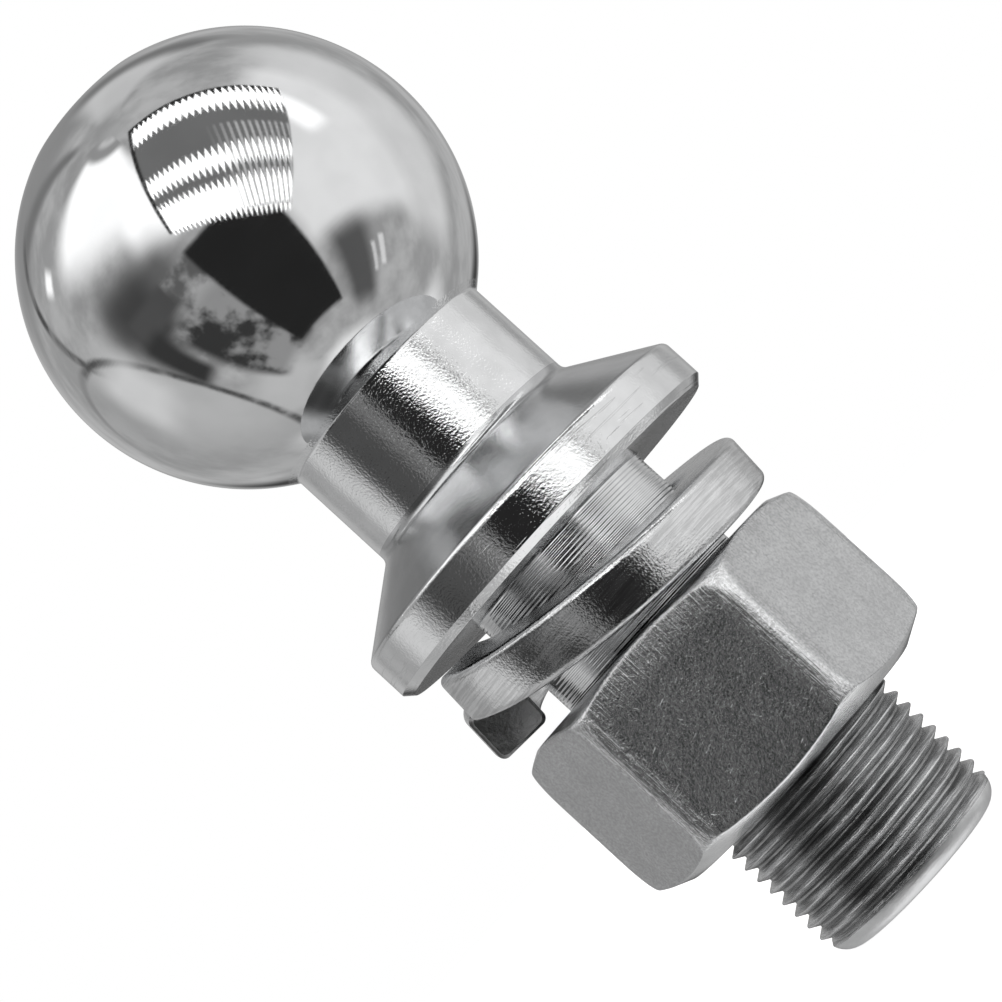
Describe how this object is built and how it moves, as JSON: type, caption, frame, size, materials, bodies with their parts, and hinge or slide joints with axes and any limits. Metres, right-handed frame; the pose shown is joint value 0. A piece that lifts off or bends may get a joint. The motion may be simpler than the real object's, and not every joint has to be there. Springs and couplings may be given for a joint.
{
  "type": "trailer hitch ball",
  "caption": "Threaded-shank trailer hitch ball: chromed ball on a short neck and conical flange, with a split lock washer and a hex nut on the threaded shank.",
  "frame": {"origin": "on the shank's axis, in the plane of the flange's underside, which is the seat that rests on the drawbar", "axes": "+Z along the shank's axis towards the ball; -Z towards the threaded end; -Y towards the side the picture is taken from; +X to the right of that view with the ball up"},
  "size_m": [0.0508, 0.0508, 0.123],
  "materials": {
    "chromed_stud": "bright chrome over turned steel",
    "plated_washer": "plated spring steel, slightly worn",
    "plated_nut": "plated forged steel with fine scratches and rubbed edges"
  },
  "bodies": {
    "stud": {"ball_stud": "chromed_stud"},
    "washer": {"lock_washer": "plated_washer"},
    "nut": {"hex_nut": "plated_nut"}
  },
  "joints": [
    {"name": "nut_travel", "type": "slide", "parent": "stud", "child": "washer", "axis": [0, 0, -1], "range_m": [0, 0.038]},
    {"name": "nut_turn", "type": "hinge", "parent": "washer", "child": "nut", "pos_m": [0, 0, -0.0246], "axis": [0, 0, -1], "range_deg": [0, 7540]}
  ],
  "couplings": [
    {"joint": "nut_travel", "follows": "nut_turn", "m_per_rad": 0.00028875}
  ]
}
